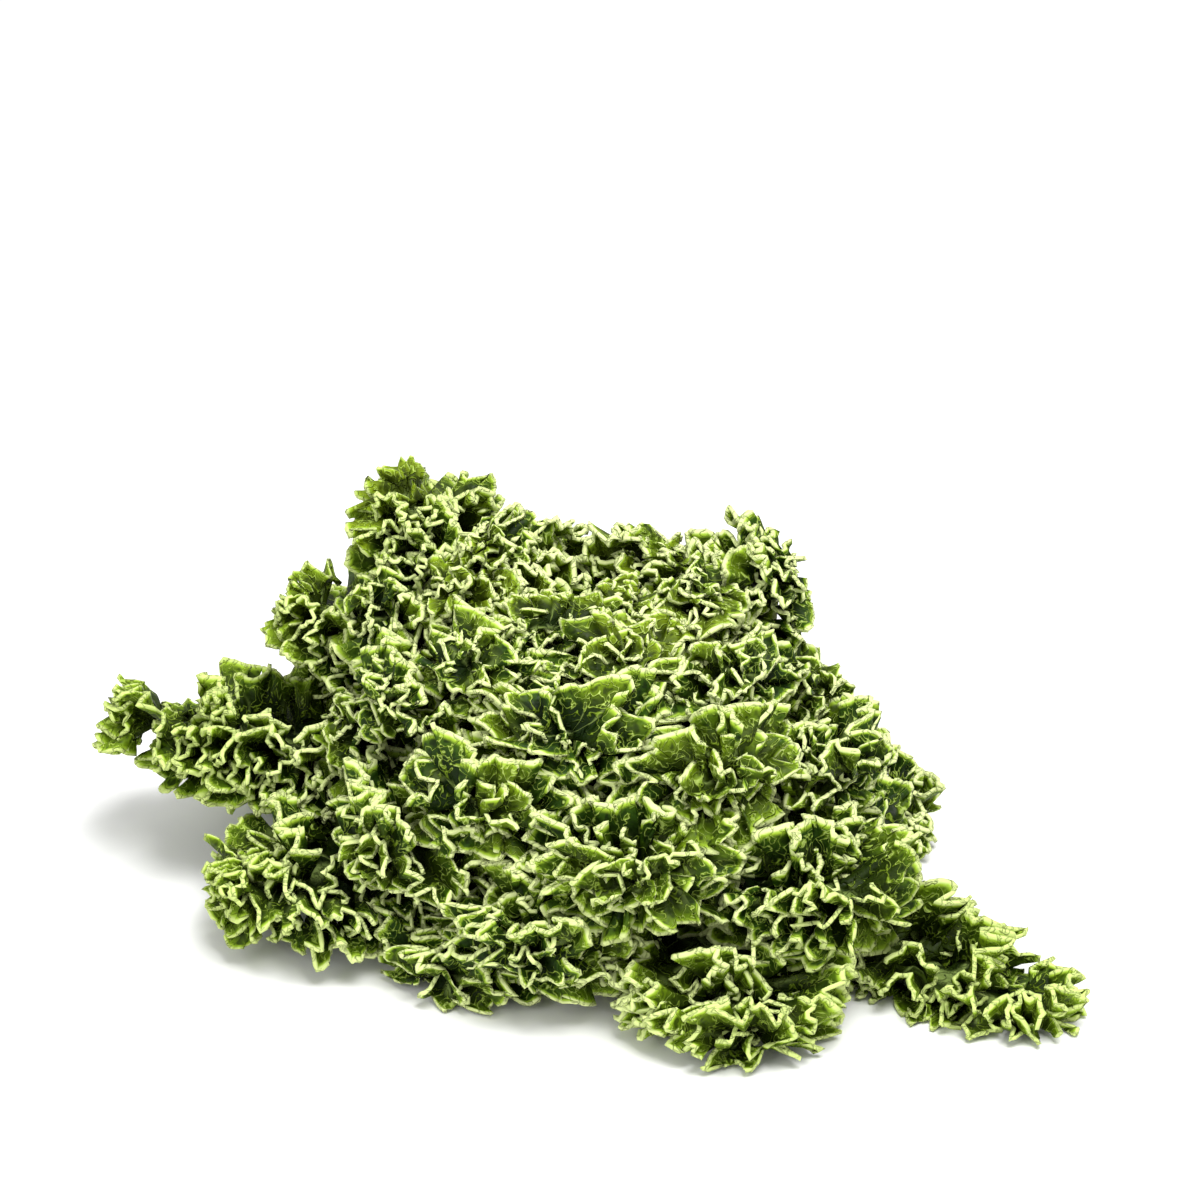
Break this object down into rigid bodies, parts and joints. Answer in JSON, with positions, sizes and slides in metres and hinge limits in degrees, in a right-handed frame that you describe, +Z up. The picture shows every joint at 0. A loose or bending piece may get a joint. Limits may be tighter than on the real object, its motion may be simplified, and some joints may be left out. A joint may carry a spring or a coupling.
{
  "type": "curly leaf lettuce",
  "caption": "Loose head of curly leaf lettuce standing on its cut foot, its frilled leaves nested round a short core and spread on the table.",
  "frame": {"origin": "centre of the cut foot, on the table", "axes": "+Z up; +X to the right of the head's front, where its longest low leaf points; -Y to the front"},
  "size_m": [0.2897, 0.2484, 0.117],
  "materials": {
    "stem": "moist pale flesh, lightly browned at the cut",
    "outer_leaf": "crisp waxy leaf, half gloss, yellow-green frilled edge",
    "inner_leaf": "crisp waxy leaf, half gloss, yellow-green frilled edge",
    "heart_leaf": "tender waxy leaf, half gloss, pale frilled edge"
  },
  "bodies": {
    "root": {"core": "stem", "leaf_01": "outer_leaf", "leaf_02": "outer_leaf", "leaf_03": "outer_leaf", "leaf_04": "outer_leaf", "leaf_05": "outer_leaf", "leaf_06": "outer_leaf", "leaf_07": "outer_leaf", "leaf_08": "outer_leaf", "leaf_09": "outer_leaf", "leaf_10": "outer_leaf", "leaf_11": "outer_leaf", "leaf_12": "outer_leaf", "leaf_13": "outer_leaf", "leaf_14": "outer_leaf", "leaf_15": "outer_leaf", "leaf_16": "outer_leaf", "leaf_17": "outer_leaf", "leaf_18": "outer_leaf", "leaf_19": "outer_leaf", "leaf_20": "outer_leaf", "leaf_21": "inner_leaf", "leaf_22": "inner_leaf", "leaf_23": "inner_leaf", "leaf_24": "inner_leaf", "leaf_25": "inner_leaf", "leaf_26": "inner_leaf", "leaf_27": "inner_leaf", "leaf_28": "inner_leaf", "leaf_29": "inner_leaf", "leaf_30": "inner_leaf", "leaf_31": "inner_leaf", "leaf_32": "inner_leaf", "leaf_33": "inner_leaf", "leaf_34": "inner_leaf", "leaf_35": "inner_leaf", "leaf_36": "inner_leaf", "leaf_37": "inner_leaf", "leaf_38": "inner_leaf", "leaf_39": "heart_leaf", "leaf_40": "heart_leaf", "leaf_41": "heart_leaf", "leaf_42": "heart_leaf", "leaf_43": "heart_leaf", "leaf_44": "heart_leaf", "leaf_45": "heart_leaf", "leaf_46": "heart_leaf", "leaf_47": "heart_leaf", "leaf_48": "heart_leaf"}
  },
  "joints": []
}
